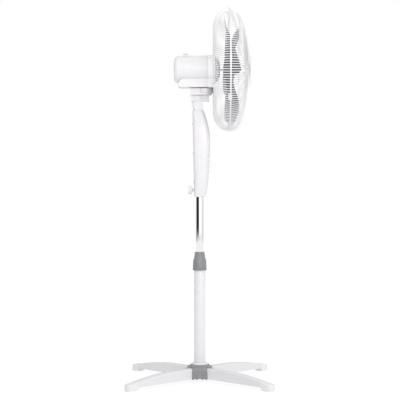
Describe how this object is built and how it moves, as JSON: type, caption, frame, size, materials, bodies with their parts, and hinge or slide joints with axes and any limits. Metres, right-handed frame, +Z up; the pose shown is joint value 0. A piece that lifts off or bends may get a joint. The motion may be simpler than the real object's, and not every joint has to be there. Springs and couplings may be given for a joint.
{
  "type": "pedestal fan",
  "caption": "Free-standing fan on a crossed base: telescopic pole, control column with push buttons, tilting and swinging motor head, wire cage and bladed propeller.",
  "frame": {"origin": "on the floor under the pole's axis", "axes": "+Z up along the pole, +X the way the air blows, +Y to the fan's left"},
  "size_m": [0.4762, 0.4762, 1.2512],
  "materials": {
    "white_plastic": "satin gloss moulded white",
    "cover_plastic": "satin moulded pale grey",
    "button_plastic": "satin moulded pale grey",
    "grey_plastic": "satin moulded mid grey",
    "hub_plastic": "fine-grained dark grey",
    "blade_plastic": "tinted smoke grey",
    "gear_plastic": "natural acetal",
    "leg_paint": "white powder coat",
    "pole_paint": "white powder coat",
    "wire_paint": "white dip coat",
    "chrome_plate": "polished chrome",
    "steel": "zinc plated",
    "cast_metal": "as cast",
    "lamination": "stacked laminations",
    "copper": "enamelled wire",
    "bronze": "sintered bronze",
    "sole_rubber": "soft grey rubber",
    "lead_rubber": "white sheath"
  },
  "bodies": {
    "base": {"base_hub": "hub_plastic", "leg_front_left": "leg_paint", "leg_front_right": "leg_paint", "leg_rear_left": "leg_paint", "leg_rear_right": "leg_paint", "foot_caps": "white_plastic", "foot_soles": "sole_rubber", "leg_screws": "steel", "base_bolt": "steel", "pole_foot": "white_plastic", "outer_pole": "pole_paint", "pole_bush": "grey_plastic", "collet": "grey_plastic"},
    "collar": {"locking_collar": "grey_plastic"},
    "mast": {"chrome_tube": "chrome_plate", "tube_end_plug": "grey_plastic", "control_box_front": "white_plastic", "control_box_rear": "cover_plastic", "box_screws": "steel", "switch_bank": "hub_plastic", "cord_gland": "grey_plastic", "neck_stem": "white_plastic", "tilt_bolt": "steel", "motor_lead": "lead_rubber", "capacitor": "cover_plastic"},
    "height_knob": {"mast_knob": "white_plastic"},
    "off_button": {"button_off": "button_plastic"},
    "low_button": {"button_low": "button_plastic"},
    "medium_button": {"button_medium": "button_plastic"},
    "high_button": {"button_high": "button_plastic"},
    "neck": {"tilt_bracket": "white_plastic", "swing_housing": "white_plastic", "swing_bush": "bronze"},
    "link": {"link_arm": "steel"},
    "head": {"motor_housing": "white_plastic", "housing_ring": "white_plastic", "lower_cover": "white_plastic", "housing_screws": "steel", "motor_frame": "cast_metal", "rear_bell": "cast_metal", "front_bell": "cast_metal", "stator_core": "lamination", "stator_coils": "copper", "bearings": "bronze", "gearbox_case": "gear_plastic", "rear_grille": "wire_paint", "grille_nut": "white_plastic", "front_grille": "wire_paint", "joining_ring": "white_plastic", "front_badge": "white_plastic"},
    "top_clip": {"clip_top": "white_plastic"},
    "near_clip": {"clip_near": "white_plastic"},
    "far_clip": {"clip_far": "white_plastic"},
    "rotor": {"motor_shaft": "steel", "rotor_core": "lamination", "propeller": "blade_plastic", "propeller_nut": "hub_plastic"},
    "clutch": {"clutch_gear": "gear_plastic"},
    "crank": {"crank_gear": "gear_plastic"},
    "pull_knob": {"oscillation_knob": "white_plastic"}
  },
  "joints": [
    {"name": "collar_turn", "type": "hinge", "parent": "base", "child": "collar", "pos_m": [0, 0, 0.4], "axis": [0, 0, 1], "range_deg": [0, 180]},
    {"name": "height_slide", "type": "slide", "parent": "base", "child": "mast", "axis": [0, 0, 1], "range_m": [-0.17, 0.03]},
    {"name": "height_knob_turn", "type": "hinge", "parent": "mast", "child": "height_knob", "pos_m": [-0.03, 0, 0.6377], "axis": [1, 0, 0], "range_deg": [-360, 0]},
    {"name": "off_button_press", "type": "slide", "parent": "mast", "child": "off_button", "axis": [-1, 0, 0], "range_m": [0, 0.004], "stiffness_N_per_m": 400},
    {"name": "low_button_press", "type": "slide", "parent": "mast", "child": "low_button", "axis": [-1, 0, 0], "range_m": [0, 0.004], "stiffness_N_per_m": 400},
    {"name": "medium_button_press", "type": "slide", "parent": "mast", "child": "medium_button", "axis": [-1, 0, 0], "range_m": [0, 0.004], "stiffness_N_per_m": 400},
    {"name": "high_button_press", "type": "slide", "parent": "mast", "child": "high_button", "axis": [-1, 0, 0], "range_m": [0, 0.004], "stiffness_N_per_m": 400},
    {"name": "neck_tilt", "type": "hinge", "parent": "mast", "child": "neck", "pos_m": [-0.005, 0, 0.944], "axis": [0, 1, 0], "range_deg": [-20, 10], "deforming": ["motor_lead"]},
    {"name": "head_swing", "type": "hinge", "parent": "neck", "child": "head", "pos_m": [0.018, 0, 0.97], "axis": [0, 0, 1], "range_deg": [-40, 40]},
    {"name": "link_turn", "type": "hinge", "parent": "neck", "child": "link", "pos_m": [0.018, 0.017, 0.983], "axis": [0, 0, 1], "range_deg": [-40, 40]},
    {"name": "rotor_spin", "type": "hinge", "parent": "head", "child": "rotor", "pos_m": [0.1, 0, 1.04], "axis": [1, 0, 0], "continuous": true},
    {"name": "clutch_spin", "type": "hinge", "parent": "head", "child": "clutch", "pos_m": [-0.0475, -0.015, 1.04], "axis": [0, 0, 1], "continuous": true},
    {"name": "crank_spin", "type": "hinge", "parent": "head", "child": "crank", "pos_m": [-0.038, 0.006, 1], "axis": [0, 0, 1], "continuous": true},
    {"name": "pull_knob_lift", "type": "slide", "parent": "head", "child": "pull_knob", "axis": [0, 0, 1], "range_m": [0, 0.006]},
    {"name": "top_clip_flip", "type": "hinge", "parent": "head", "child": "top_clip", "pos_m": [0.093, 0, 1.249], "axis": [0, -1, 0], "range_deg": [0, 90]},
    {"name": "near_clip_flip", "type": "hinge", "parent": "head", "child": "near_clip", "pos_m": [0.093, -0.181, 0.9355], "axis": [0, 0.5, -0.866], "range_deg": [0, 90]},
    {"name": "far_clip_flip", "type": "hinge", "parent": "head", "child": "far_clip", "pos_m": [0.093, 0.181, 0.9355], "axis": [0, 0.5, 0.866], "range_deg": [0, 90]}
  ],
  "couplings": [
    {"joint": "clutch_spin", "follows": "rotor_spin", "ratio": 0.055556},
    {"joint": "crank_spin", "follows": "rotor_spin", "ratio": -0.018519},
    {"joint": "link_turn", "follows": "head_swing", "ratio": 1}
  ]
}
